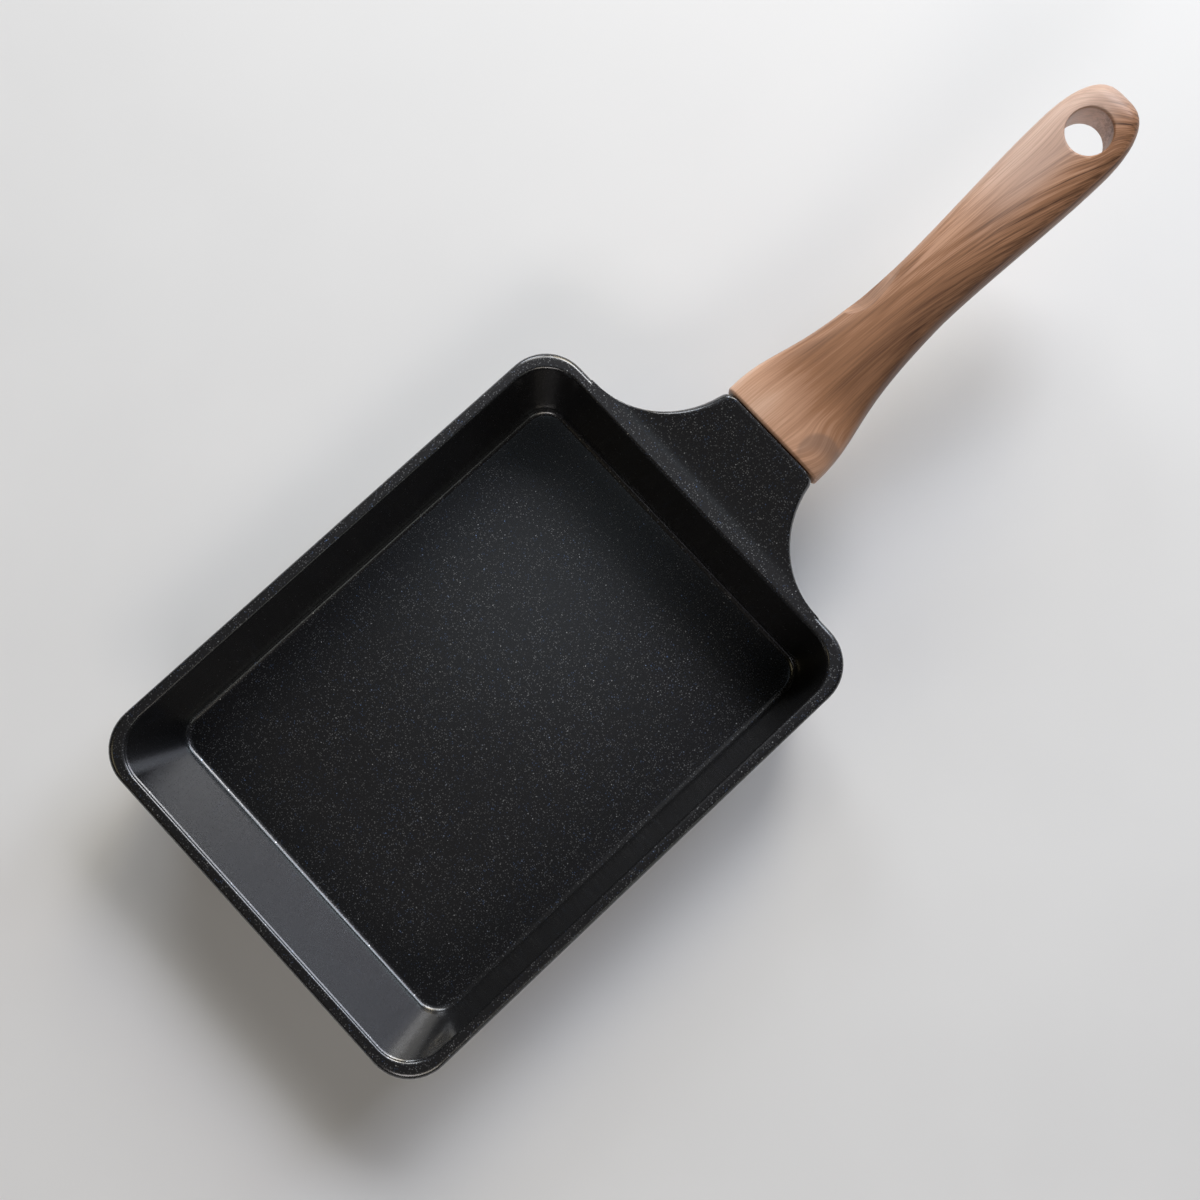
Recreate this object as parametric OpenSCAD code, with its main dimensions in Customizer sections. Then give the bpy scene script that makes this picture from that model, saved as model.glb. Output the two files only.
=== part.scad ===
// Rectangular rolled-omelette pan: a cast tray with one long sloping wall, a neck that
// grows out of its rim, and a moulded handle screwed onto a tongue inside it.
// Origin: middle of the flat underside. +X runs along the handle, +Z is up. Millimetres.

/* [Tray] */
// Outer length of the rim, far edge to handle edge
rim_l = 183; // [160:1:220]
// Outer width of the rim
rim_w = 138; // [120:1:180]
// Outer corner radius of the rim
rim_r = 14; // [13:0.5:20]
// Corner radius of the mouth, where the flange ends
mouth_r = 12.6; // [11:0.2:16]
// Corner radius where the walls meet the floor
floor_r = 8.5; // [8:0.5:11]
// Width of the flat flange around the mouth
flange_w = 4; // [3.6:0.2:6]
// Thickness of the flange
flange_t = 3.6; // [3.2:0.2:5]
// Radius on the outer edge of the flange
edge_r = 1.5; // [0.8:0.1:1.6]
// Radius on the inner lip of the mouth
lip_r = 0.9; // [0.4:0.1:1.4]
// Depth inside, rim to cooking floor
depth = 33; // [26:1:45]
// Thickness of the cast base
base_t = 4; // [3.4:0.2:6]
// Thickness of the side walls, measured level
wall_t = 2.8; // [2:0.2:3.4]
// How far the two long walls and the handle wall lean in at the floor
side_lean = 4.5; // [2:0.5:8]
// How far the far wall, the one the omelette slides up, leans in at the floor
far_lean = 12.5; // [9:0.5:20]
// Inside radius between walls and floor
floor_fillet = 2.2; // [1.4:0.2:4]
// Outside radius between walls and base
base_round = 6; // [4:0.5:8]

/* [Neck] */
// Length of the neck, rim to handle seam, along its top
neck_l = 26.7; // [22:0.1:40]
// Width that the concave sides of the neck draw in to
neck_w = 36.6; // [34:0.2:40]
// Height of the neck at the handle seam
neck_h = 18.4; // [17.4:0.2:19]
// Radius of the concave sides beyond the length of the neck
neck_flare = 5; // [3:0.5:10]
// Slope of the neck and of the front of the handle, degrees
rise_angle = 15.5; // [8:0.5:20]
// How far the seam between neck and handle leans back from upright, degrees
seam_lean = 7.5; // [5:0.5:12]
// Length over which the flat flange turns up into that slope
rise_blend = 4; // [2:0.5:8]
// Skin left around the hollow under the neck
neck_skin = 3; // [2.4:0.2:4]
// Solid block left at the handle end of the neck
neck_block = 6; // [5:0.5:8]
// Rounding of the top and bottom edges of the neck at the seam
neck_round = 0.8; // [0.4:0.1:1.2]
// Rounding of the neck's corners at the seam, seen from above
neck_corner = 2.4; // [1.4:0.2:3]
// Thickness of the two ribs under the neck
rib_t = 2.4; // [1.6:0.2:3.2]
// Distance between the middles of the two ribs
rib_gap = 15; // [12:1:18]
// How deep the ribs hang below the rim
rib_depth = 8; // [6:0.5:9]

/* [Tongue and screw] */
// Length of the tongue that the handle slides over
tongue_l = 34; // [28:1:38]
// Width of the tongue
tongue_w = 20; // [18:1:24]
// Thickness of the tongue
tongue_t = 7; // [5:0.5:8]
// How far the tongue sits above the middle of the handle
tongue_up = 2; // [1:0.2:2.4]
// Distance of the screw from the handle seam
screw_at = 15; // [12:1:20]
// Thread diameter of the screw
screw_d = 5; // [4:0.5:5]
// Diameter of the screw head
head_d = 9; // [8:0.5:9.6]
// Height of the screw head
head_h = 3.2; // [2.4:0.2:3.4]
// Outer diameter of the flat washer
washer_d = 10; // [9.8:0.1:10.4]
// Thickness of the flat washer
washer_t = 1; // [0.8:0.1:1.2]
// Thickness of the spring washer
spring_t = 1.3; // [1:0.1:1.4]
// Thickness of the handle left under the washers
seat_t = 2.4; // [2:0.2:3]
// Play between the tongue and the socket, all round
socket_play = 0.2; // [0.1:0.05:0.4]
// Play around the screw and the washers
screw_play = 0.25; // [0.1:0.05:0.4]

/* [Handle] */
// Length of the handle along its middle line
handle_l = 143; // [125:1:170]
// Width of the handle at the seam
front_w = 38.6; // [36:0.2:44]
// Width of the handle at its waist
waist_w = 22; // [20:0.2:27]
// Width of the handle at the middle of the grip
grip_w = 26.2; // [24:0.2:34]
// Height of the handle at the seam
front_h = 20; // [19:0.2:22]
// Height of the handle at its waist
waist_h = 18; // [16:0.5:20]
// Height of the handle at the tail
tail_h = 17; // [14:0.5:19]
// Distance of the waist from the seam
waist_at = 60; // [52:1:70]
// Distance of the deepest point of the thumb hollow from the seam
hollow_at = 50.5; // [50:0.5:56]
// Distance of its edge there from the middle of the handle
hollow_y = 7.2; // [6.6:0.1:9]
// Radius of the thumb hollow at its front end, seen from above
hollow_front_r = 16; // [12:1:20]
// Radius of the thumb hollow along the grip, seen from above
hollow_rear_r = 90; // [60:5:120]
// How far the thumb hollow leans out from upright as it goes down, degrees
hollow_lean = 28; // [24:1:40]
// Length of the rounded tail
tail_l = 22; // [18:1:30]
// How far the tail curves down from a straight line
droop = 7; // [0:0.5:9]
// Gap at the seam between neck and handle
seam = 0.3; // [0.2:0.1:0.6]
// Rounding of the front edge of the handle
front_round = 1; // [0.5:0.1:1.4]
// Radius of the hanging hole
hang_r = 7; // [6:0.25:7.5]
// Distance of the hanging hole from the end of the tail
hang_in = 16.2; // [14:0.2:19]
// Rounding of the lips of the hanging hole
hang_lip = 1; // [0.6:0.1:1.6]

/* [Induction plate] */
// Length of the steel plate
plate_l = 130; // [90:1:136]
// Width of the steel plate
plate_w = 90; // [70:1:94]
// Thickness of the steel plate
plate_t = 0.8; // [0.5:0.1:1.2]
// Corner radius of the steel plate
plate_r = 10; // [6:1:16]
// Diameter of the holes that the cast base fills
stud_d = 6; // [4:0.5:8]
// Spacing of those holes
stud_pitch = 18; // [16:1:26]
// Least steel left between the outer holes and the edge
stud_edge = 4; // [3:0.5:8]
// Gap around the plate and around each stud
press_gap = 0.05; // [0.02:0.01:0.1]

/* [Hidden] */

// Overshoot that keeps a cut clean, and the reach of a join into what carries it
over = 1;
// Steps on each rounded corner of a tray ring
corner_steps = 12;
// Steps on each small arc of a profile
arc_steps = 6;
// Rings along the neck, and steps on each rounded corner of one
neck_rings = 14;
neck_corner_steps = 6;
// Rings along the handle up to its tail and along the tail, and points around each
handle_rings = 32;
tail_rings = 14;
handle_points = 48;
// Sides of the round holes and pins
round_sides = 40;
stud_sides = 16;

// Heights and ends of the tray
rim_z = base_t + depth;
rim_mid = -(far_lean - side_lean) / 2;
rim_far = rim_mid - rim_l / 2;
rim_near = rim_mid + rim_l / 2;

// Radius of the concave sides of the neck
flare_r = neck_l + neck_flare;

// Seam frame: middle of the neck's end face, X along the handle, Z square to it
seam_x = rim_near + neck_l + neck_h / 2 * sin(seam_lean);
seam_z = rim_z + neck_rise(neck_l) - neck_h / 2 * cos(seam_lean);

// Stations along the handle
grip_at = handle_l - tail_l;
hang_at = handle_l - hang_in;
// Length over which the tail rounds off in height
tail_round = 6;
// Part of the handle's half height at which the edge of the thumb hollow lies
hollow_level = 0.88;
// How square the handle's section is at the seam, at the waist and at the tail
front_square = 4.5;
waist_square = 2.7;
tail_square = 3.6;
// How blunt the tail is seen from above
tail_blunt = 2.5;
// Part of the way to the waist at which half of the front's extra width is gone, and how
// suddenly it goes
half_gone = 0.43;
gone_power = 2.8;
// Length over which the sections turn from the lean of the seam to the slope of the handle
lean_fade = 20;

// Stack under the tongue, from the socket down to the mouth of the counterbore
socket_floor = tongue_up - tongue_t / 2 - socket_play;
seat_z = socket_floor - seat_t;
spring_z = seat_z - washer_t;
head_z = spring_z - spring_t;

// Columns and rows of studs that fit the plate
stud_span_x = floor((plate_l - 2 * stud_edge - stud_d) / stud_pitch);
stud_span_y = floor((plate_w - 2 * stud_edge - stud_d) / stud_pitch);

// How far a leaning wall has moved in at height z above its floor, fillet included
function lean_in(z, tall, lean, fillet) =
    let (
        a = atan(lean / tall),
        centre = lean * (tall - fillet) / tall + fillet / cos(a)
    )
    z > fillet * (1 - sin(a))
        ? lean * (tall - z) / tall
        : centre - sqrt(fillet * fillet - (fillet - z) * (fillet - z));

// How much of that is the fillet's, past the plain slope
function bend_in(z, tall, lean, fillet) = lean_in(z, tall, lean, fillet) - lean * (tall - z) / tall;

// Corner radius of the plain slope of the inside at height z, drawn out below the floor
function slope_r(z) = floor_r + (mouth_r - floor_r) * (z - base_t) / depth;

// Rows of the tray's profile: height, inset of the far side, inset of the other sides,
// corner radius
function inner_row(z) = [
    z,
    flange_w + lean_in(z - base_t, depth, far_lean, floor_fillet),
    flange_w + lean_in(z - base_t, depth, side_lean, floor_fillet),
    slope_r(z) - bend_in(z - base_t, depth, side_lean, floor_fillet)
];
function outer_row(z) =
    let (
        far = far_lean * rim_z / depth,
        side = side_lean * rim_z / depth
    )
    [
        z,
        flange_w - wall_t + lean_in(z, rim_z, far, base_round),
        flange_w - wall_t + lean_in(z, rim_z, side, base_round),
        slope_r(z) + wall_t - bend_in(z, rim_z, side, base_round)
    ];
function flange_row(z, inset) =
    [z, inset, inset, rim_r + (mouth_r - rim_r) * inset / flange_w];

// Quarter turn in steps, for the arcs of the profile
function quarter(k, steps) = 90 * k / steps;

// The profile from the underside, up the outside, over the flange and down to the floor
tray_rows = concat(
    [for (k = [0:arc_steps]) outer_row(base_round * (1 - cos(quarter(k, arc_steps))))],
    [
        outer_row(rim_z - flange_t - wall_t / 2),
        flange_row(rim_z - flange_t, edge_r / 2),
        flange_row(rim_z - flange_t + edge_r / 2, 0)
    ],
    [for (k = [0:arc_steps])
        let (a = quarter(k, arc_steps))
        flange_row(rim_z - edge_r * (1 - sin(a)), edge_r * (1 - cos(a)))],
    [for (k = [0:arc_steps - 1])
        let (a = quarter(k, arc_steps))
        flange_row(rim_z - lip_r * (1 - cos(a)), flange_w - lip_r * (1 - sin(a)))],
    [inner_row(rim_z - lip_r)],
    [for (k = [0:arc_steps + 2])
        inner_row(base_t + floor_fillet * (1 - sin(quarter(k, arc_steps + 2))))]
);

// Points of a rounded rectangle about its own middle, counter-clockwise
function soft_box(half_x, half_y, r, steps) =
    [for (c = [0:3]) for (k = [0:steps])
        let (
            a = 90 * c + quarter(k, steps),
            x = (c == 0 || c == 3 ? 1 : -1) * (half_x - r),
            y = (c < 2 ? 1 : -1) * (half_y - r)
        )
        [x + r * cos(a), y + r * sin(a)]];

// A ring of the tray at one row of its profile
function tray_ring(row) =
    let (
        half_x = (rim_l - row[1] - row[2]) / 2,
        mid_x = rim_mid + (row[1] - row[2]) / 2
    )
    [for (p = soft_box(half_x, rim_w / 2 - row[2], row[3], corner_steps))
        [mid_x + p[0], p[1], row[0]]];

// A section drawn with Y across and Z up, set at x, z and leaned back by tilt
function stand(points, x, z, tilt) =
    [for (p = points) [x - p[1] * sin(tilt), p[0], z + p[1] * cos(tilt)]];

// The neck at distance u from the rim: rise of its top, half width, height and lean
function neck_rise(u) = tan(rise_angle) * (sqrt(u * u + rise_blend * rise_blend) - rise_blend);
function neck_turn(u) = sqrt(1 - pow(1 - u / flare_r, 2));
function neck_half(u, skin) =
    neck_w / 2 + flare_r - sqrt(pow(flare_r + skin, 2) - pow(flare_r - u, 2));
function neck_tall(u) =
    flange_t + (neck_h - flange_t) * pow(neck_turn(u) / neck_turn(neck_l), 1.5);

// A ring of the neck, drawn in at its sides, at its top and at its bottom
function neck_ring(u, side = 0, top = 0, bottom = 0) =
    let (
        tilt = seam_lean * u / neck_l,
        tall = neck_tall(u) - top - bottom,
        r = min(edge_r * (1 + u / neck_l), tall / 2 - edge_r / 10),
        mid = top + tall / 2,
        box = soft_box(neck_half(u, side), tall / 2, r, neck_corner_steps)
    )
    stand(box, rim_near + u + mid * sin(tilt), rim_z + neck_rise(u) - mid * cos(tilt), tilt);

// How far an edge of radius r has drawn in, at depth x under its face
function rounded(r, x) = x < r ? r - sqrt(r * r - (r - x) * (r - x)) : 0;

// A ring of the neck's rounded end, at depth x under its face
function neck_end_ring(x) =
    neck_ring(neck_l - x, rounded(neck_corner, x), rounded(neck_round, x), rounded(neck_round, x));

// Where ring k of the neck stands, bunched where the sides flare out
function neck_station(k, last) = last * (1 - cos(quarter(k, neck_rings)));

// An S-shaped change from 0 to 1, and the quick fall from the wide front to the waist
function ease(u) = u * u * (3 - 2 * u);
function fall(u) = (1 - pow(u, 4)) / (1 + pow(u / half_gone, gone_power));

// The handle at distance s from the seam
function handle_width(s) =
    s < waist_at ? waist_w + (front_w - waist_w) * fall(s / waist_at)
    : s < grip_at ? waist_w + (grip_w - waist_w) * ease((s - waist_at) / (grip_at - waist_at))
    : grip_w * pow(1 - pow((s - grip_at) / tail_l, tail_blunt), 1 / tail_blunt);
function tail_fade(s) = sqrt(1 - pow(max(0, s - handle_l + tail_round) / tail_round, 2));
function handle_height(s) =
    (s < waist_at ? front_h + (waist_h - front_h) * ease(s / waist_at)
    : waist_h + (tail_h - waist_h) * ease(min(1, (s - waist_at) / (grip_at - waist_at)))) * tail_fade(s);
function handle_square(s) =
    s < waist_at ? front_square + (waist_square - front_square) * ease(s / waist_at)
    : waist_square + (tail_square - waist_square) * ease(min(1, (s - waist_at) / (grip_at - waist_at)));
function handle_sag(s) = -droop * pow(s / handle_l, 2);
function handle_tilt(s) =
    -atan(2 * droop * s / pow(handle_l, 2))
    - (rise_angle - seam_lean) * (1 - ease(min(1, s / lean_fade)));

// A point of a circle pressed towards a square
function squared(v, power) = sign(v) * pow(abs(v), 2 / power);

// A ring of the handle in the seam frame, drawn in by inset all round
function handle_ring(s, inset = 0) =
    let (
        half_y = handle_width(s) / 2 - inset,
        half_z = handle_height(s) / 2 - inset,
        power = handle_square(s)
    )
    stand(
        [for (k = [0:handle_points - 1])
            let (a = 360 * k / handle_points)
            [half_y * squared(cos(a), power), half_z * squared(sin(a), power)]],
        s, handle_sag(s), handle_tilt(s)
    );

// Stations along the handle past its front edge, bunched towards the end of the tail
front_at = seam + front_round;
handle_stations = concat(
    [for (k = [1:handle_rings]) front_at + (grip_at - front_at) * k / handle_rings],
    [for (k = [1:tail_rings]) grip_at + tail_l * sin(88 * k / tail_rings)]
);

// A closed solid through rings of equal count, each counter-clockwise seen from ahead
module loft(rings) {
    n = len(rings[0]);
    last = len(rings) - 1;
    polyhedron(
        points = [for (ring = rings) for (p = ring) p],
        faces = concat(
            [[for (j = [0:n - 1]) j]],
            [for (i = [0:last - 1]) for (j = [0:n - 1])
                let (next = (j + 1) % n)
                [i * n + j, (i + 1) * n + j, (i + 1) * n + next, i * n + next]],
            [[for (j = [n - 1:-1:0]) last * n + j]]
        )
    );
}

// Moves children from the seam frame into the frame of the pan
module at_seam() {
    translate([seam_x, 0, seam_z])
        rotate([0, -rise_angle, 0])
            children();
}

// A flat bar with rounded corners, standing on z = 0
module soft_plate(length, width, height, r) {
    linear_extrude(height)
        polygon(soft_box(length / 2, width / 2, r, corner_steps));
}

// Puts children at every stud of the induction plate
module at_studs() {
    for (i = [0:stud_span_x])
        for (j = [0:stud_span_y])
            translate([(i - stud_span_x / 2) * stud_pitch, (j - stud_span_y / 2) * stud_pitch, 0])
                children();
}

module tray() {
    loft([for (row = tray_rows) tray_ring(row)]);
}

// The neck with its hollow underside, open below as a die-cast neck is
module neck() {
    difference() {
        loft(concat(
            [[for (p = neck_ring(0)) [p[0] - flange_w / 2, p[1], p[2]]]],
            [for (k = [0:neck_rings]) neck_ring(neck_station(k, neck_l - neck_corner))],
            [for (k = [1:arc_steps]) neck_end_ring(neck_corner * (1 - sin(quarter(k, arc_steps))))]
        ));
        loft([for (k = [1:neck_rings])
            neck_ring(neck_station(k, neck_l - neck_block), neck_skin, neck_skin, -over)]);
    }
}

// Two ribs from the wall of the tray to the solid end of the neck
module neck_ribs() {
    start = rim_near - flange_w + lip_r;
    for (side = [-1, 1])
        translate([start, side * rib_gap / 2 - rib_t / 2, rim_z - rib_depth])
            cube([rim_near + neck_l - neck_block + over - start, rib_t, rib_depth - neck_skin / 2]);
}

// The tongue that the handle slides over
module tongue() {
    translate([(tongue_l - neck_block / 2) / 2, 0, tongue_up - tongue_t / 2])
        soft_plate(tongue_l + neck_block / 2, tongue_w, tongue_t, tongue_t / 2);
}

module pan_body() {
    color("#2c2c2e")
    difference() {
        union() {
            tray();
            neck();
            neck_ribs();
            at_seam() tongue();
        }
        at_seam()
            translate([screw_at, 0, socket_floor - over])
                cylinder(d = screw_d + 2 * press_gap, h = tongue_t + 3 * over, $fn = round_sides);
        translate([0, 0, -over])
            difference() {
                soft_plate(plate_l + 2 * press_gap, plate_w + 2 * press_gap, plate_t + over, plate_r);
                at_studs() cylinder(d = stud_d - 2 * press_gap, h = plate_t + 2 * over, $fn = stud_sides);
            }
    }
}

module induction_plate() {
    color("#b9bcc0")
    difference() {
        soft_plate(plate_l, plate_w, plate_t, plate_r);
        at_studs()
            translate([0, 0, -over])
                cylinder(d = stud_d, h = plate_t + 2 * over, $fn = stud_sides);
    }
}

// The through hole for hanging, with rounded lips, square to the tail
module hang_hole() {
    half = handle_height(hang_at) / 2;
    translate([hang_at, 0, handle_sag(hang_at)])
        rotate([0, -handle_tilt(hang_at), 0]) {
            cylinder(r = hang_r, h = 2 * half + 2 * over, center = true, $fn = round_sides);
            for (side = [0, 1])
                mirror([0, 0, side])
                    rotate_extrude($fn = round_sides)
                        polygon(concat(
                            [[0, half + over], [0, half - hang_lip]],
                            [for (k = [0:arc_steps])
                                let (a = quarter(k, arc_steps))
                                [hang_r + hang_lip * (1 - cos(a)), half - hang_lip * (1 - sin(a))]],
                            [[hang_r + hang_lip, half + over]]
                        ));
        }
}

// The socket for the tongue and the stepped hole for the screw
module handle_cuts() {
    socket_w = tongue_w + 2 * socket_play;
    socket_t = tongue_t + 2 * socket_play;
    translate([-over, -socket_w / 2, socket_floor])
        cube([tongue_l + socket_play + over, socket_w, socket_t]);
    translate([screw_at, 0, 0]) {
        translate([0, 0, seat_z - over])
            cylinder(d = screw_d + 2 * screw_play, h = seat_t + 2 * over, $fn = round_sides);
        translate([0, 0, -front_h])
            cylinder(d = washer_d + 2 * screw_play, h = front_h + seat_z, $fn = round_sides);
    }
}

// The shallow hollow for the thumb on the left side, which leaves a crease along the top
module thumb_hollow() {
    turn = acos(1 - hollow_front_r / hollow_rear_r);
    outline = concat(
        [for (k = [0:corner_steps])
            let (a = quarter(k, corner_steps))
            [hollow_at - hollow_front_r * cos(a), hollow_front_r * (1 - sin(a))]],
        [for (k = [1:corner_steps])
            let (a = turn * k / corner_steps)
            [hollow_at + hollow_rear_r * sin(a), hollow_rear_r * (1 - cos(a))]]
    );
    edge_z = handle_sag(hollow_at) + hollow_level * handle_height(hollow_at) / 2;
    translate([0, hollow_y, edge_z])
        rotate([hollow_lean, 0, 0])
            linear_extrude(front_h, center = true)
                polygon(outline);
}

module handle() {
    color("#b07f56")
    at_seam()
        difference() {
            loft(concat(
                [for (k = [0:arc_steps])
                    let (x = front_round * (1 - cos(quarter(k, arc_steps))))
                    handle_ring(seam + x, rounded(front_round, x))],
                [for (s = handle_stations) handle_ring(s)]
            ));
            handle_cuts();
            thumb_hollow();
            hang_hole();
        }
}

// The screw, head down, with a domed head and a cross recess
module handle_screw() {
    reach = tongue_up + tongue_t / 2 - over - head_z;
    slot_w = head_d / 8;
    slot_l = head_d / 2;
    color("#c9cbce")
    at_seam()
        translate([screw_at, 0, head_z]) {
            cylinder(d = screw_d, h = reach, $fn = round_sides);
            difference() {
                mirror([0, 0, 1])
                    rotate_extrude($fn = round_sides)
                        polygon(concat(
                            [[0, 0], [head_d / 2, 0]],
                            [for (k = [0:arc_steps])
                                let (a = quarter(k, arc_steps))
                                [head_d / 2 - head_h / 2 * (1 - cos(a)), head_h / 2 + head_h / 2 * sin(a)]],
                            [[0, head_h]]
                        ));
                for (turn = [0, 90])
                    rotate([0, 0, turn])
                        translate([-slot_l / 2, -slot_w / 2, -head_h - over])
                            cube([slot_l, slot_w, head_h / 2 + over]);
            }
        }
}

// A ring lying flat at height z of the stack, around the screw
module screw_ring(z, outer_d, height) {
    at_seam()
        translate([screw_at, 0, z])
            difference() {
                cylinder(d = outer_d, h = height, $fn = round_sides);
                translate([0, 0, -over])
                    cylinder(d = screw_d + screw_play, h = height + 2 * over, $fn = round_sides);
            }
}

// The split ring, pressed flat by the screw
module spring_washer() {
    gap_w = spring_t / 2;
    color("#a9abae")
    difference() {
        screw_ring(head_z, head_d, spring_t);
        at_seam()
            translate([screw_at, -gap_w / 2, head_z - over])
                cube([head_d, gap_w, spring_t + 2 * over]);
    }
}

module flat_washer() {
    color("#b4b6b9")
    screw_ring(spring_z, washer_d, washer_t);
}

pan_body();
induction_plate();
handle();
handle_screw();
spring_washer();
flat_washer();
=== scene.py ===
from math import cos, radians, sin

import bpy
from mathutils import Matrix, Vector


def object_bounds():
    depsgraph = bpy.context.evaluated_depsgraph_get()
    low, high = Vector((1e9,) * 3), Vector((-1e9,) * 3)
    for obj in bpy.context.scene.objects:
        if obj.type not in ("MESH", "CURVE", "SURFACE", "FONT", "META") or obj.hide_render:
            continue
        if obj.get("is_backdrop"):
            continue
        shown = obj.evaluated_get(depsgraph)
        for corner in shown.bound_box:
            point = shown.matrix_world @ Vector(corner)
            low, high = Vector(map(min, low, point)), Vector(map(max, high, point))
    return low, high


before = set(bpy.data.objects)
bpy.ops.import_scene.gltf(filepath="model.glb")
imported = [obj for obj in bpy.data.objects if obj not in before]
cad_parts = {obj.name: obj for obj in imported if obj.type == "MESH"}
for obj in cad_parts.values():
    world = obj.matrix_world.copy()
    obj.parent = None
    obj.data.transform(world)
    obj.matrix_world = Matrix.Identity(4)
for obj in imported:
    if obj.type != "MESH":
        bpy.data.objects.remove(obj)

CAD_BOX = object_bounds()

# Camera: where it stands and what it looks at in metres, how far the handle swings up in the picture
CAMERA_AT = Vector((-0.01099, -0.03568, 0.50899))
CAMERA_AIM = Vector((0.04323, -0.00124, 0.037))
HANDLE_ANGLE = radians(42.68)
# Focal length and width of the sensor in millimetres
CAMERA_LENS = 48.0
CAMERA_SENSOR = 36.0

# Distance of every lamp from the middle of the pan's underside, in metres
LAMP_DISTANCE = 1.6
# Each lamp: direction around from +X and up from the floor in degrees, side in metres, watts, colour
LAMPS = {
    "window low": (0, 28, 0.45, 5.4, (0.77, 0.9, 1.0)),
    "window middle low": (30, 28, 0.45, 4.9, (1.0, 0.87, 0.61)),
    "window left low": (60, 28, 0.45, 5.4, (0.89, 0.94, 1.0)),
    "window high": (0, 44, 0.45, 3.2, (0.89, 0.86, 1.0)),
    "window middle": (24, 44, 0.45, 9.3, (0.96, 0.97, 1.0)),
    "window left": (48, 44, 0.45, 4.1, (1.0, 0.98, 0.94)),
    "corner": (144, 44, 0.45, 0.9, (1.0, 0.86, 0.53)),
    "room": (216, 44, 0.45, 3.6, (1.0, 0.95, 0.94)),
    "room side": (240, 44, 0.45, 2.6, (1.0, 0.91, 0.79)),
    "side": (270, 28, 0.45, 0.7, (0.95, 1.0, 0.93)),
    "ceiling": (47, 80.5, 0.25, 0.09, (0.75, 0.88, 1.0)),
}

# Most of a noise texture lies between the first two values, and nearly all of it between the others
NOISE_RANGE = (0.3, 0.7)
WIDE_NOISE_RANGE = (0.2, 0.8)

# Floor: half its width and its gap under the pan in metres, then its look from smudge to smudge
FLOOR_REACH = 3.0
FLOOR_GAP = 0.0002
FLOOR_TONES = ((0.752, 0.757, 0.767), (0.768, 0.773, 0.783))
FLOOR_ROUGHNESS = (0.57, 0.63)
# Smudges to a millimetre, then their detail
FLOOR_SMUDGES = (0.015, 5)

# Coat: the clear layer on top, the black under it, and the flakes that lie in the black
COAT_IOR = 1.73
COAT_ROUGHNESS = 0.22
COAT_BLACK = (0.026, 0.026, 0.028)
BLACK_ROUGHNESS = 0.6
FLAKE_PALE = (0.72, 0.74, 0.76)
FLAKE_BLUE = (0.3, 0.48, 0.9)
FLAKE_ROUGHNESS = 0.42
# Strength from which a flake has all of its own roughness
FULL_FLAKE = 0.4
# Each kind of flake: millimetres between places, share of places that hold one, reach within a place
DUST = (0.6, 0.9, 0.42)
GRAINS = (1.4, 0.35, 0.18)
# Share of its reach within which a flake is at full strength
FLAKE_CORE = 0.4
# Strength of the dust from patch to patch, and of every flake on the steep walls
DUST_STRENGTH = (0.12, 0.35)
STEEP_WALL_STRENGTH = 0.15
# How level a face is, from 0 for an upright one to 1 for a flat one, where its flakes come in
LEVEL_FACE = (0.5, 0.9)
# Random tint of a flake, from 0 to 1, where it turns from pale to blue
BLUE_TINT = (0.65, 1.0)
# Patches of dust and pits in the surface: how many to a millimetre, then their detail
DUST_PATCHES = (0.12, 3)
COAT_PITS = (2.2, 3)
# Depth of the pits in metres
COAT_RELIEF = 0.00002

# The handle's own frame: middle of its front end in metres, and how steeply it rises
HANDLE_START = Vector((0.1154, 0.0, 0.0343))
HANDLE_RISE = radians(15.5)
# Its length and the droop of its tail, then the middle of its hole and its radius, in millimetres
HANDLE_LENGTH = 143.0
HANDLE_DROOP = 7.0
HOLE_AT = 126.8
HOLE_RADIUS = 7.0

# Places on the handle are in millimetres: along from its front, across to the left, and up.
# A soft change along one of these begins at the first place of its pair and ends at the second.

# How steeply the grain runs over to the right: everywhere, and more past the waist
GRAIN_SLOPE = 0.05
GRAIN_TILTS = (0.0, 0.11, 0.22)
TILT_CHANGES = ((5, 1), (0, -5))
TILT_FROM = 60.0
TILT_EASE = 40.0
# The grain fans out in the flare, parts round the hole and turns with the end of the tail
FLARE = (50, 5)
FLARE_SPREAD = 0.35
HOLE_PARTING = 4.0
END_TURN = 0.05
# How far to the side a face looks, from 0 to 1, where straight streaks replace the sweeping ones
SIDE_FACE = (0.6, 0.9)
# Knot: its middle and its heart along and across, then how far from the middle it moves the grain
KNOT_AT = (7.0, -14.0)
KNOT_HEART = (2.0, -16.5)
KNOT_REACH = 11.0
KNOT_LIFT = 2.5
# Its soft edges: by the distance from its middle, by the distance from its heart, and by height
KNOT_EDGE = (7, 5.4)
KNOT_HEART_EDGE = (4, 9)
KNOT_TOP = (-2, 2)
# Noise of the wood: length and width of a streak, then its detail and roughness
BROAD_GRAIN = (90, 4.5, 2, 0.5)
STREAK_GRAIN = (38, 1.0, 4, 0.65)
HAIR_GRAIN = (24, 0.42, 3, 0.6)
# Height of a streak within the wood, in widths
STREAK_HEIGHT = 3
# How far each of them moves the tone, from its darker end to its paler end
BROAD_TONES = (-0.09, 0.09)
STREAK_TONES = (-0.12, 0.12)
HAIR_TONES = (-0.26, 0.09)
# Values of the hair noise that give those tones
HAIR_RANGE = (0.36, 0.6)
# Dark grooves lie where the streak noise is low, on top of the rear and towards its right
GROOVE_TONE = -0.28
GROOVE_RANGE = (0.46, 0.3)
REAR = (25, 85)
REAR_RIGHT = (6, -5)
REAR_TOP = (-4, 3)
# The streaks grow bolder towards there, and the hairs towards the rear
STREAK_BOLDNESS = (0.6, 1.4)
HAIR_BOLDNESS = (0.55, 1.1)
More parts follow.
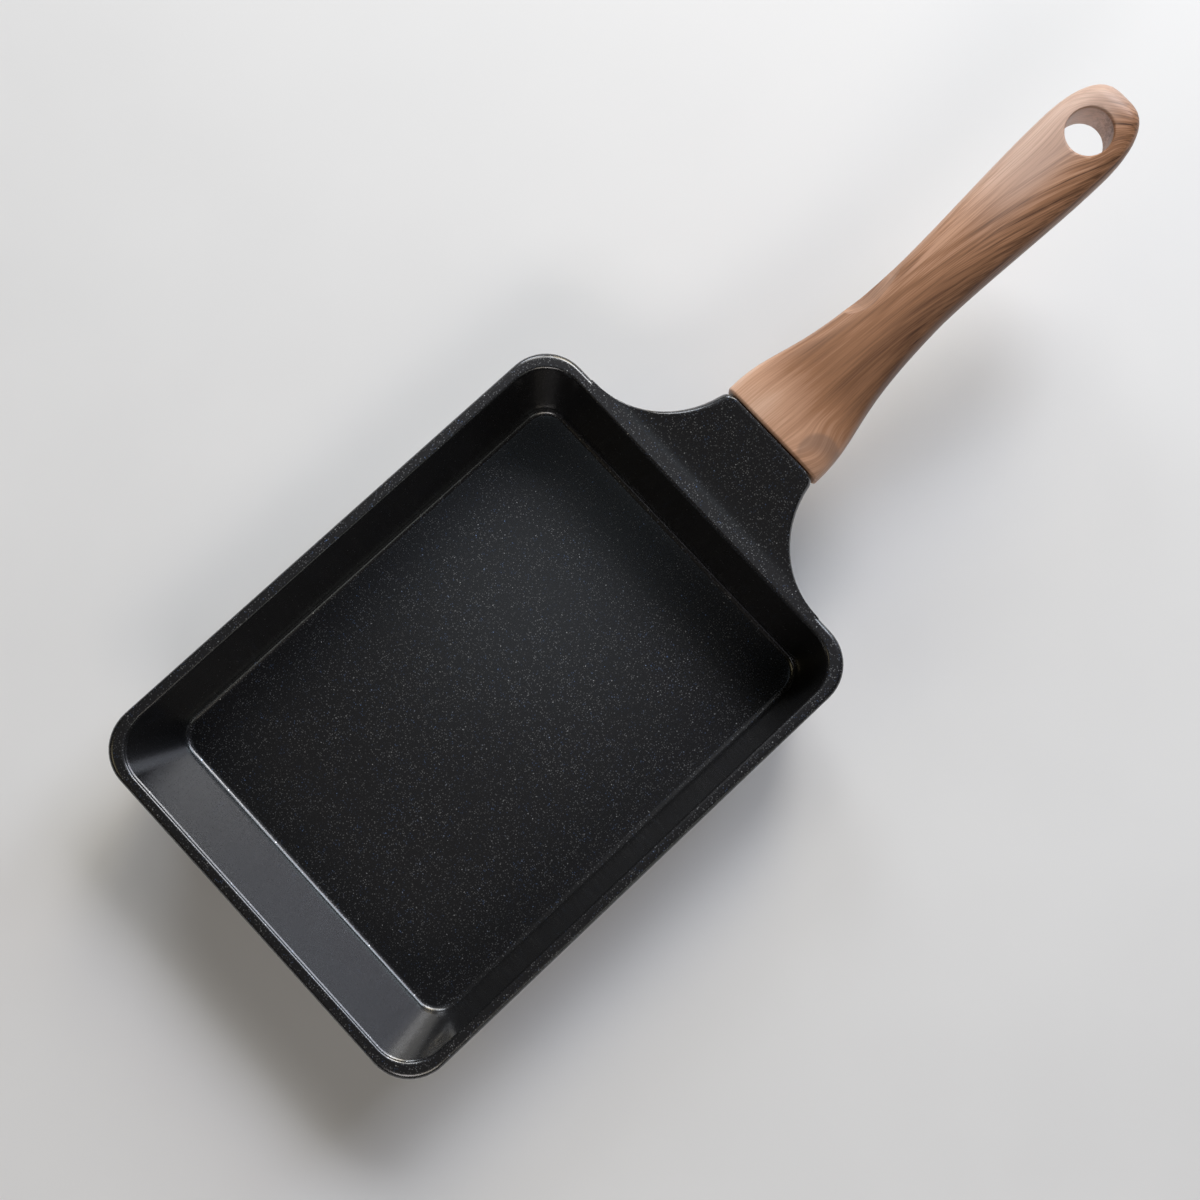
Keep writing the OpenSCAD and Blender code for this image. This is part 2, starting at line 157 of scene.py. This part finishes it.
# Tone of the bare ground, the wood's own with painted light on it: what is added towards the front, then
# its value from the waist to the tail. The paler front and tail are painted sheen where the light falls
# on the top of the handle
FRONT = (28, 4)
FRONT_PAINTED_LIGHT = 0.66
WAIST_TO_TAIL = (45, 115)
REAR_TONE_AND_PAINTED_LIGHT = (0.35, 0.7)
# Painted light and shade: paler to the left, where the light comes from, and darker to the right, in tone
# for each millimetre: before and past the flare
PAST_FLARE = (15, 45)
PAINTED_SIDE_LIGHT = (0.011, 0.032)
# Wood colours from the darkest streak to the palest, each with its place on the tone scale
WOOD_TONES = (
    (-0.25, (0.074, 0.029, 0.014)),
    (0.1, (0.196, 0.092, 0.045)),
    (0.5, (0.35, 0.174, 0.092)),
    (1.0, (0.62, 0.36, 0.235)),
    (1.35, (0.85, 0.58, 0.43)),
)
# Painted sheen: a pale highlight painted over the left of the tail, where the light falls on it
PAINTED_SHEEN_COLOUR = (0.58, 0.47, 0.43)
PAINTED_SHEEN_STRENGTH = 0.42
PAINTED_SHEEN_ALONG = (78, 110)
PAINTED_SHEEN_ACROSS = (-6, 3)
WOOD_KNOT = (0.24, 0.15, 0.11)
KNOT_STRENGTH = 0.55
# Darker bands: where they come in, then where each lies across the grain, its half width, its strength
BANDS_FROM = (12, 32)
WOOD_BANDS = ((-2.2, 2.4, 0.1), (9.0, 1.3, 0.22), (12.8, 1.3, 0.22))
BAND_WAVER = 3.0
# Varnish, with its roughness from the dark of the streaks to the pale and its relief in metres
VARNISH_IOR = 1.5
VARNISH_ROUGHNESS = (0.5, 0.4)
WOOD_RELIEF = 0.00003

# Steel: its two tones between the brushing lines, and how far the lines move its roughness
STEEL_TONES = ((0.46, 0.46, 0.47), (0.62, 0.62, 0.63))
BRUSHED_CHANGE = 0.06
# The lines: how fast they change along X, Y and Z, how many to a millimetre and their detail, and
# their relief in metres
BRUSHED_STRETCH = (0.05, 1, 1)
BRUSHED_LINES = (6.0, 4)
STEEL_RELIEF = 0.000004

# Points nearer than this, in metres, are joined before shading
SAME_POINT = 0.000002
# Faces that meet at more than this angle keep a sharp edge between them
SHARP_ANGLE = radians(24)

# Millimetres in a metre
MM = 1000.0


def make_camera():
    """A camera above the pan, rolled so that the handle points up to the right."""
    data = bpy.data.cameras.new("camera")
    data.lens = CAMERA_LENS
    data.sensor_width = CAMERA_SENSOR
    data.clip_start = 0.01
    camera = bpy.data.objects.new("camera", data)
    bpy.context.scene.collection.objects.link(camera)
    back = (CAMERA_AT - CAMERA_AIM).normalized()
    handle = Vector((1, 0, 0))
    flat = (handle - back * handle.dot(back)).normalized()
    side = back.cross(flat)
    right = flat * cos(HANDLE_ANGLE) - side * sin(HANDLE_ANGLE)
    up = back.cross(right)
    camera.matrix_world = Matrix((right, up, back)).transposed().to_4x4()
    camera.location = CAMERA_AT
    bpy.context.scene.camera = camera


def make_lamp(name, around, up, side, power, colour):
    """A square soft box on a dome over the pan, pointed at it."""
    data = bpy.data.lights.new(name, "AREA")
    data.shape = "SQUARE"
    data.size = side
    data.energy = power
    data.color = colour
    lamp = bpy.data.objects.new(name, data)
    bpy.context.scene.collection.objects.link(lamp)
    around, up = radians(around), radians(up)
    towards = Vector((cos(up) * cos(around), cos(up) * sin(around), sin(up)))
    lamp.location = towards * LAMP_DISTANCE
    lamp.rotation_euler = towards.to_track_quat("Z", "Y").to_euler()


def make_dark_room():
    """A world that adds no light of its own: all of it comes from the lamps."""
    world = bpy.data.worlds.new("room")
    world.use_nodes = True
    world.node_tree.nodes["Background"].inputs["Strength"].default_value = 0.0
    bpy.context.scene.world = world


class Material:
    """One procedural material, built node by node around its Principled shader."""

    def __init__(self, name, **constants):
        self.data = bpy.data.materials.new(name)
        self.data.use_nodes = True
        self.tree = self.data.node_tree
        self.shader = self.tree.nodes["Principled BSDF"]
        for socket, value in constants.items():
            self.set(socket.replace("_", " "), value)

    def set(self, socket, value):
        self.put(self.shader.inputs[socket], value)

    def put(self, socket, value):
        if isinstance(value, bpy.types.NodeSocket):
            self.tree.links.new(value, socket)
        elif socket.type == "RGBA":
            socket.default_value = (*value, 1)
        else:
            socket.default_value = value

    def add(self, kind, inputs, **settings):
        node = self.tree.nodes.new(kind)
        for setting, value in settings.items():
            setattr(node, setting, value)
        for socket, value in inputs.items():
            self.put(node.inputs[socket], value)
        return node

    def place(self):
        """The point being shaded, in millimetres from the origin of the pan."""
        point = self.add("ShaderNodeTexCoord", {}).outputs["Object"]
        return self.stretch(point, (MM, MM, MM))

    def place_on_handle(self):
        """The same point along, across and up from the front of the handle."""
        point = self.add("ShaderNodeTexCoord", {}).outputs["Object"]
        turned = self.add(
            "ShaderNodeMapping",
            {"Vector": point, "Location": HANDLE_START, "Rotation": (0, -HANDLE_RISE, 0)},
            vector_type="TEXTURE",
        )
        return self.split(self.stretch(turned.outputs[0], (MM, MM, MM)))

    def stretch(self, vector, factors):
        node = self.add("ShaderNodeVectorMath", {0: vector, 1: factors}, operation="MULTIPLY")
        return node.outputs[0]

    def split(self, vector):
        return self.add("ShaderNodeSeparateXYZ", {0: vector}).outputs[:]

    def join(self, x, y, z):
        return self.add("ShaderNodeCombineXYZ", {0: x, 1: y, 2: z}).outputs[0]

    def math(self, operation, *values):
        return self.add("ShaderNodeMath", dict(enumerate(values)), operation=operation).outputs[0]

    def fade(self, value, start, end, low=0.0, high=1.0):
        """A soft change from low to high as the value goes from start to end."""
        inputs = {0: value, 1: start, 2: end, 3: low, 4: high}
        return self.add("ShaderNodeMapRange", inputs, interpolation_type="SMOOTHSTEP").outputs[0]

    def noise(self, vector, scale, detail=2.0, roughness=0.5):
        inputs = {"Vector": vector, "Scale": scale, "Detail": detail, "Roughness": roughness}
        return self.add("ShaderNodeTexNoise", inputs).outputs["Fac"]

    def mix(self, factor, first, second, blend="MIX"):
        node = self.add("ShaderNodeMix", {}, data_type="RGBA", blend_type=blend)
        self.put(node.inputs["Factor"], factor)
        colours = [socket for socket in node.inputs if socket.type == "RGBA"]
        self.put(colours[0], first)
        self.put(colours[1], second)
        return [socket for socket in node.outputs if socket.type == "RGBA"][0]

    def ramp(self, value, stops):
        """A colour for each value, from stops that each give a value and its colour."""
        low, high = stops[0][0], stops[-1][0]
        share = self.math("DIVIDE", self.math("SUBTRACT", value, low), high - low)
        node = self.add("ShaderNodeValToRGB", {0: share})
        elements = node.color_ramp.elements
        for index, (place, colour) in enumerate(stops):
            element = elements[index] if index < 2 else elements.new(1.0)
            element.position = (place - low) / (high - low)
            element.color = (*colour, 1)
        return node.outputs["Color"]

    def bump(self, height, distance, strength=1.0):
        """Small relief, with its height in metres when the texture goes from 0 to 1."""
        inputs = {"Height": height, "Distance": distance, "Strength": strength}
        self.set("Normal", self.add("ShaderNodeBump", inputs).outputs[0])


def flakes(material, place, cell, share, reach):
    """Small bright grains: one in some of the cells of a loose grid, and a random tint for each."""
    grid = material.add("ShaderNodeTexVoronoi", {"Vector": place, "Scale": 1 / cell})
    luck, tint, _ = material.add("ShaderNodeSeparateColor", {0: grid.outputs["Color"]}).outputs[:]
    spot = material.fade(grid.outputs["Distance"], reach, reach * FLAKE_CORE)
    chosen = material.fade(luck, 1 - share, 1)
    return material.math("MULTIPLY", spot, chosen), tint


def make_coat():
    """Black non-stick coat with pale flakes under a satin surface, fewer of them on the steep walls."""
    coat = Material("coated_casting", Metallic=1.0)
    coat.set("Coat Weight", 1.0)
    coat.set("Coat IOR", COAT_IOR)
    coat.set("Coat Roughness", COAT_ROUGHNESS)
    place = coat.place()
    dust, _ = flakes(coat, place, *DUST)
    grains, tint = flakes(coat, place, *GRAINS)
    patches = coat.noise(place, *DUST_PATCHES)
    dust = coat.math("MULTIPLY", dust, coat.fade(patches, *NOISE_RANGE, *DUST_STRENGTH))
    metal = coat.math("MAXIMUM", dust, grains)
    normal = coat.add("ShaderNodeNewGeometry", {}).outputs["True Normal"]
    flatness = coat.math("ABSOLUTE", coat.split(normal)[2])
    metal = coat.math("MULTIPLY", metal, coat.fade(flatness, *LEVEL_FACE, STEEP_WALL_STRENGTH, 1.0))
    flake = coat.mix(coat.fade(tint, *BLUE_TINT), FLAKE_PALE, FLAKE_BLUE)
    coat.set("Base Color", coat.mix(metal, COAT_BLACK, flake))
    coat.set("Roughness", coat.fade(metal, 0, FULL_FLAKE, BLACK_ROUGHNESS, FLAKE_ROUGHNESS))
    coat.bump(coat.noise(place, *COAT_PITS), COAT_RELIEF)
    return coat.data


class Grain:
    """The flow of the wood grain over the handle, in millimetres of the handle's own frame."""

    def __init__(self, material):
        self.material = material
        math, fade = material.math, material.fade
        self.along, self.across, up = material.place_on_handle()
        sag = math("MULTIPLY", math("POWER", self.along, 2.0), HANDLE_DROOP / HANDLE_LENGTH**2)
        self.up = math("ADD", up, sag)
        spread = fade(self.along, *FLARE, 1, 1 / (1 + FLARE_SPREAD))
        knot = fade(self.distance(*KNOT_AT), 0, KNOT_REACH, KNOT_LIFT, 0)
        past_hole = math("MAXIMUM", math("SUBTRACT", self.along, HOLE_AT), 0.0)
        turn = math("MULTIPLY", math("POWER", past_hole, 2.0), END_TURN)
        near = math("MAXIMUM", math("POWER", self.distance(HOLE_AT, 0), 2.0), HOLE_RADIUS**2)
        parting = math("SUBTRACT", 1.0, math("DIVIDE", HOLE_PARTING**2, near))
        line = math("MULTIPLY", math("MULTIPLY", self.across, parting), spread)
        line = math("ADD", line, math("ADD", knot, turn))
        line = math("ADD", line, math("MULTIPLY", self.along, GRAIN_SLOPE))
        past = math("SMOOTH_MAX", math("SUBTRACT", self.along, TILT_FROM), 0.0, TILT_EASE)
        self.lines = [math("ADD", line, math("MULTIPLY", past, tilt)) for tilt in GRAIN_TILTS]
        self.shares = [fade(self.across, *change) for change in TILT_CHANGES]
        normal = material.add("ShaderNodeNewGeometry", {}).outputs["Normal"]
        self.upright = fade(math("ABSOLUTE", material.split(normal)[1]), *SIDE_FACE)

    def distance(self, along, across):
        """How far the point is from a spot on the handle, seen from above."""
        there = self.material.join(self.along, self.across, 0.0)
        inputs = {0: there, 1: (along, across, 0)}
        return self.material.add("ShaderNodeVectorMath", inputs, operation="DISTANCE").outputs["Value"]

    def blend(self, values):
        """One value from three: level grain on the left, steeper grain to the right."""
        math = self.material.math
        total = values[0]
        for value, share in zip(values[1:], self.shares):
            total = math("ADD", total, math("MULTIPLY", share, math("SUBTRACT", value, total)))
        return total

    def noise(self, length, width, detail=2.0, roughness=0.5):
        """Streaks of one size that follow the flow, and run straight along the upright sides."""
        math = self.material.math
        patterns = []
        for line in self.lines:
            spot = self.material.join(
                math("DIVIDE", self.along, length),
                math("DIVIDE", line, width),
                math("DIVIDE", self.up, width * STREAK_HEIGHT),
            )
            patterns.append(self.material.noise(spot, 1.0, detail, roughness))
        level = self.blend(patterns)
        spot = self.material.join(math("DIVIDE", self.along, length), math("DIVIDE", self.up, width), 0.0)
        wrapped = self.material.noise(spot, 1.0, detail, roughness)
        change = math("MULTIPLY", self.upright, math("SUBTRACT", wrapped, level))
        return math("ADD", level, change)

    def band(self, level, reach, waver):
        """A soft band of one streak, with edges that the given pattern pushes about."""
        math = self.material.math
        off = math("ABSOLUTE", math("SUBTRACT", math("ADD", self.lines[-1], waver), level))
        return self.material.fade(off, reach, 0)


def make_wood():
    """Printed wood grain that sweeps across the handle, under a satin varnish."""
    wood = Material("woodgrain_moulding", IOR=VARNISH_IOR)
    math, fade = wood.math, wood.fade
    grain = Grain(wood)
    broad = grain.noise(*BROAD_GRAIN)
    streak = grain.noise(*STREAK_GRAIN)
    hair = grain.noise(*HAIR_GRAIN)
    rear = fade(grain.along, *REAR)
    bold = math("MULTIPLY", fade(grain.across, *REAR_RIGHT), rear)
    bold = math("MULTIPLY", bold, fade(grain.up, *REAR_TOP))
    # Painted sheen: the ground grows paler towards the front and the tail
    front_painted_light = fade(grain.along, *FRONT, 0, FRONT_PAINTED_LIGHT)
    tone = math("ADD", front_painted_light, fade(grain.along, *WAIST_TO_TAIL, *REAR_TONE_AND_PAINTED_LIGHT))
    parts = [
        # Painted light and shade: paler to the left, darker to the right
        math("MULTIPLY", grain.across, fade(grain.along, *PAST_FLARE, *PAINTED_SIDE_LIGHT)),
        fade(broad, *NOISE_RANGE, *BROAD_TONES),
        math("MULTIPLY", fade(streak, *NOISE_RANGE, *STREAK_TONES), fade(bold, 0, 1, *STREAK_BOLDNESS)),
        math("MULTIPLY", fade(streak, *GROOVE_RANGE, 0, GROOVE_TONE), bold),
        math("MULTIPLY", fade(hair, *HAIR_RANGE, *HAIR_TONES), fade(rear, 0, 1, *HAIR_BOLDNESS)),
    ]
    waver = fade(broad, *WIDE_NOISE_RANGE, -BAND_WAVER, BAND_WAVER)
    for level, reach, strength in WOOD_BANDS:
        shade = math("MULTIPLY", grain.band(level, reach, waver), -strength)
        parts.append(math("MULTIPLY", shade, fade(grain.along, *BANDS_FROM)))
    for part in parts:
        tone = math("ADD", tone, part)
    colour = wood.ramp(tone, WOOD_TONES)
    # Painted sheen: the colour turns pale over the left of the tail, where the light falls
    painted_sheen = fade(grain.along, *PAINTED_SHEEN_ALONG, 0, PAINTED_SHEEN_STRENGTH)
    painted_sheen = math("MULTIPLY", painted_sheen, fade(grain.across, *PAINTED_SHEEN_ACROSS))
    colour = wood.mix(painted_sheen, colour, PAINTED_SHEEN_COLOUR)
    heart = fade(grain.distance(*KNOT_HEART), *KNOT_HEART_EDGE)
    ring = math("MULTIPLY", fade(grain.distance(*KNOT_AT), *KNOT_EDGE), heart)
    ring = math("MULTIPLY", ring, fade(grain.up, *KNOT_TOP, 0, KNOT_STRENGTH))
    colour = wood.mix(ring, colour, WOOD_KNOT)
    wood.set("Base Color", colour)
    wood.set("Roughness", fade(streak, *NOISE_RANGE, *VARNISH_ROUGHNESS))
    wood.bump(streak, WOOD_RELIEF)
    return wood.data


def make_steel(name, roughness):
    """Plain steel with fine brushing."""
    steel = Material(name, Metallic=1.0)
    place = steel.place()
    lines = steel.noise(steel.stretch(place, BRUSHED_STRETCH), *BRUSHED_LINES)
    low, high = roughness - BRUSHED_CHANGE, roughness + BRUSHED_CHANGE
    steel.set("Base Color", steel.mix(lines, *STEEL_TONES))
    steel.set("Roughness", steel.fade(lines, *WIDE_NOISE_RANGE, low, high))
    steel.bump(lines, STEEL_RELIEF)
    return steel.data


def make_floor():
    """A pale table top under the pan, with the faintest of smudges."""
    signs = ((-1, -1), (1, -1), (1, 1), (-1, 1))
    corners = [(x * FLOOR_REACH, y * FLOOR_REACH, 0) for x, y in signs]
    mesh = bpy.data.meshes.new("floor")
    mesh.from_pydata(corners, [], [(0, 1, 2, 3)])
    floor = bpy.data.objects.new("floor", mesh)
    bpy.context.scene.collection.objects.link(floor)
    floor.location.z = CAD_BOX[0][2] - FLOOR_GAP
    surface = Material("floor")
    smudges = surface.noise(surface.place(), *FLOOR_SMUDGES)
    surface.set("Base Color", surface.mix(surface.fade(smudges, *NOISE_RANGE), *FLOOR_TONES))
    surface.set("Roughness", surface.fade(smudges, *NOISE_RANGE, *FLOOR_ROUGHNESS))
    floor.data.materials.append(surface.data)
    floor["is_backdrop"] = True


def smoothing_nodes():
    """Joins the faces of a piece and shades them as one surface, save at its real edges."""
    group = bpy.data.node_groups.new("smoothing", "GeometryNodeTree")
    group.interface.new_socket("Geometry", in_out="INPUT", socket_type="NodeSocketGeometry")
    group.interface.new_socket("Geometry", in_out="OUTPUT", socket_type="NodeSocketGeometry")
    nodes, links = group.nodes, group.links
    start = nodes.new("NodeGroupInput")
    merge = nodes.new("GeometryNodeMergeByDistance")
    merge.inputs["Distance"].default_value = SAME_POINT
    angle = nodes.new("GeometryNodeInputMeshEdgeAngle")
    sharp = nodes.new("FunctionNodeCompare")
    sharp.operation = "GREATER_THAN"
    sharp.inputs["B"].default_value = SHARP_ANGLE
    normals = nodes.new("GeometryNodeSetMeshNormal")
    end = nodes.new("NodeGroupOutput")
    links.new(start.outputs[0], merge.inputs["Geometry"])
    links.new(angle.outputs["Unsigned Angle"], sharp.inputs["A"])
    links.new(merge.outputs[0], normals.inputs["Mesh"])
    links.new(sharp.outputs[0], normals.inputs["Edge Sharpness"])
    links.new(normals.outputs[0], end.inputs[0])
    return group


def dress(node, material, smoothing):
    """Gives a CAD node its material and soft shading, with its shape as it is."""
    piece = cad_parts[node]
    piece.data.materials.clear()
    piece.data.materials.append(material)
    piece.modifiers.new("smoothing", "NODES").node_group = smoothing
    weighted = piece.modifiers.new("weighted", "WEIGHTED_NORMAL")
    weighted.keep_sharp = True


make_camera()
for lamp, settings in LAMPS.items():
    make_lamp(lamp, *settings)
make_dark_room()
make_floor()

smoothing = smoothing_nodes()
dress("pan_body", make_coat(), smoothing)
dress("handle", make_wood(), smoothing)
dress("induction_plate", make_steel("plate_steel", roughness=0.32), smoothing)
dress("handle_screw", make_steel("screw_steel", roughness=0.3), smoothing)
washer_steel = make_steel("washer_steel", roughness=0.36)
dress("spring_washer", washer_steel, smoothing)
dress("flat_washer", washer_steel, smoothing)

bpy.context.scene.view_settings.view_transform = "Standard"

visual_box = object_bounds()
[[list(map(float, corner)) for corner in box] for box in (CAD_BOX, visual_box)]
